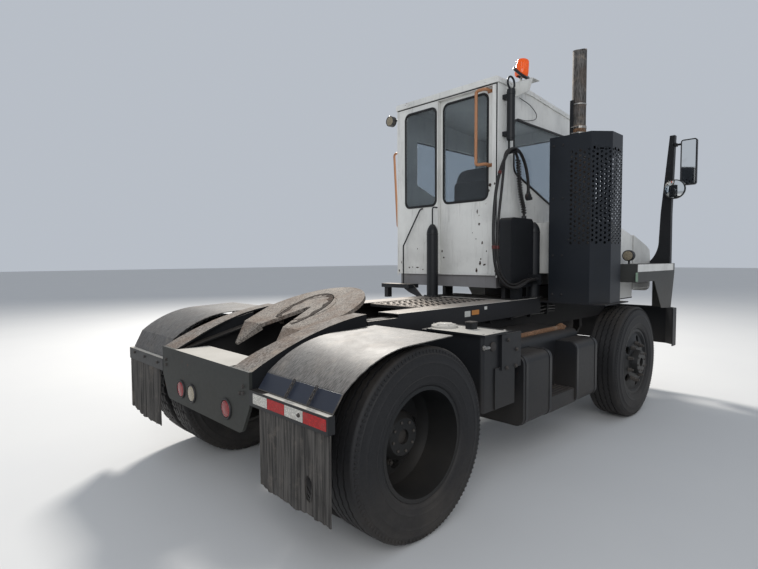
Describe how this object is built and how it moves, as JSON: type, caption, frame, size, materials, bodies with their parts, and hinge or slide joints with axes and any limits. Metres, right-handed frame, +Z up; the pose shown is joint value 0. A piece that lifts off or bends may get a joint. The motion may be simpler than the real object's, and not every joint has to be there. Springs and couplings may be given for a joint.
{
  "type": "terminal tractor",
  "caption": "Terminal tractor with an offset cab, a lifting fifth wheel on a boom, dual rear wheels, a tilting hood, a guarded exhaust stack and a sliding rear cab door.",
  "frame": {"origin": "centre of the footprint on the ground", "axes": "+X forward, +Y to the left, +Z up"},
  "size_m": [4.884, 2.77, 3.4],
  "materials": {
    "black_paint": "satin black, dusty",
    "white_paint": "chipped gloss white",
    "worn_steel": "worn and dusty with rust",
    "frame_paint": "worn black",
    "glass": "tinted",
    "flap_rubber": "dusty",
    "cast_iron": "rough",
    "tyre_rubber": "dusty",
    "wheel_paint": "satin black",
    "bright_steel": "polished",
    "copper_paint": "worn orange",
    "seat_fabric": "woven",
    "dark_plastic": "matte",
    "red_lens": "gloss",
    "amber_lens": "gloss",
    "mirror_glass": "polished",
    "lamp_glass": "gloss",
    "exhaust_steel": "heat stained"
  },
  "bodies": {
    "chassis": {"air_box": "dark_plastic", "air_hose": "flap_rubber", "axles": "frame_paint", "beacon": "amber_lens", "cab_base": "white_paint", "cab_front_wall": "white_paint", "cab_glass": "glass", "cab_rear_wall": "white_paint", "cab_roof": "white_paint", "cab_sides": "white_paint", "crossmembers": "frame_paint", "cylinder_hanger": "frame_paint", "dash": "dark_plastic", "deck": "worn_steel", "deck_grating": "worn_steel", "deck_posts": "black_paint", "drive_shaft": "frame_paint", "engine": "cast_iron", "exhaust": "exhaust_steel", "flap_bars": "black_paint", "frame_rails": "frame_paint", "front_bumper": "black_paint", "front_fenders": "white_paint", "front_springs": "frame_paint", "glad_hand": "cast_iron", "grab_handle": "copper_paint", "hydraulic_tank": "black_paint", "mirror_posts": "black_paint", "mirrors": "mirror_glass", "mudflaps": "flap_rubber", "muffler_guard": "black_paint", "rear_beam": "frame_paint", "rear_fenders": "worn_steel", "rear_ramps": "worn_steel", "seat": "seat_fabric", "side_cover": "white_paint", "side_tank": "black_paint", "steering_wheel": "dark_plastic", "supply_hose": "flap_rubber", "tail_lamps": "red_lens", "work_lamps": "lamp_glass"},
    "cab_door_body": {"cab_door": "white_paint", "door_glass": "glass", "door_handle": "copper_paint"},
    "hood_body": {"hood": "white_paint"},
    "boom": {"lift_boom": "frame_paint"},
    "fifth_wheel_body": {"fifth_wheel": "worn_steel", "fifth_wheel_tails": "worn_steel"},
    "cylinder_barrels": {"lift_barrels": "black_paint"},
    "cylinder_rods": {"lift_rods": "bright_steel"},
    "rear_left_duals": {"rear_left_tyres": "tyre_rubber", "rear_left_wheels": "wheel_paint"},
    "rear_right_duals": {"rear_right_tyres": "tyre_rubber", "rear_right_wheels": "wheel_paint"},
    "left_knuckle": {"front_left_knuckle": "cast_iron"},
    "right_knuckle": {"front_right_knuckle": "cast_iron"},
    "front_left": {"front_left_tyre": "tyre_rubber", "front_left_wheel": "wheel_paint"},
    "front_right": {"front_right_tyre": "tyre_rubber", "front_right_wheel": "wheel_paint"}
  },
  "joints": [
    {"name": "boom_lift", "type": "hinge", "parent": "chassis", "child": "boom", "pos_m": [-0.57, 0, 0.905], "axis": [0, 1, 0], "range_deg": [0, 18]},
    {"name": "fifth_wheel_tip", "type": "hinge", "parent": "boom", "child": "fifth_wheel_body", "pos_m": [-1.6, 0, 1.035], "axis": [0, 1, 0], "range_deg": [0, 23]},
    {"name": "barrel_swing", "type": "hinge", "parent": "chassis", "child": "cylinder_barrels", "pos_m": [-1.26, 0, 0.47], "axis": [0, 1, 0], "range_deg": [0, 7.33]},
    {"name": "rod_slide", "type": "slide", "parent": "cylinder_barrels", "child": "cylinder_rods", "axis": [-0.2026, 0, 0.9793], "range_m": [0, 0.2343]},
    {"name": "cab_door_slide", "type": "slide", "parent": "chassis", "child": "cab_door_body", "axis": [0, 1, 0], "range_m": [0, 0.485]},
    {"name": "hood_tilt", "type": "hinge", "parent": "chassis", "child": "hood_body", "pos_m": [2.305, 0, 1.11], "axis": [0, 1, 0], "range_deg": [0, 55]},
    {"name": "left_steer", "type": "hinge", "parent": "chassis", "child": "left_knuckle", "pos_m": [1.166, 0.85, 0.504], "axis": [0, 0, 1], "range_deg": [-32, 32]},
    {"name": "right_steer", "type": "hinge", "parent": "chassis", "child": "right_knuckle", "pos_m": [1.166, -0.85, 0.504], "axis": [0, 0, 1], "range_deg": [-32, 32]},
    {"name": "front_left_spin", "type": "hinge", "parent": "left_knuckle", "child": "front_left", "pos_m": [1.166, 1.074, 0.504], "axis": [0, 1, 0], "continuous": true},
    {"name": "front_right_spin", "type": "hinge", "parent": "right_knuckle", "child": "front_right", "pos_m": [1.166, -1.074, 0.504], "axis": [0, 1, 0], "continuous": true},
    {"name": "rear_left_spin", "type": "hinge", "parent": "chassis", "child": "rear_left_duals", "pos_m": [-1.78, 0.89, 0.504], "axis": [0, 1, 0], "continuous": true},
    {"name": "rear_right_spin", "type": "hinge", "parent": "chassis", "child": "rear_right_duals", "pos_m": [-1.78, -0.89, 0.504], "axis": [0, 1, 0], "continuous": true}
  ],
  "couplings": [
    {"joint": "right_steer", "follows": "left_steer", "ratio": 1},
    {"joint": "barrel_swing", "follows": "boom_lift", "ratio": 0.40587},
    {"joint": "rod_slide", "follows": "boom_lift", "m_per_rad": 0.74422}
  ]
}
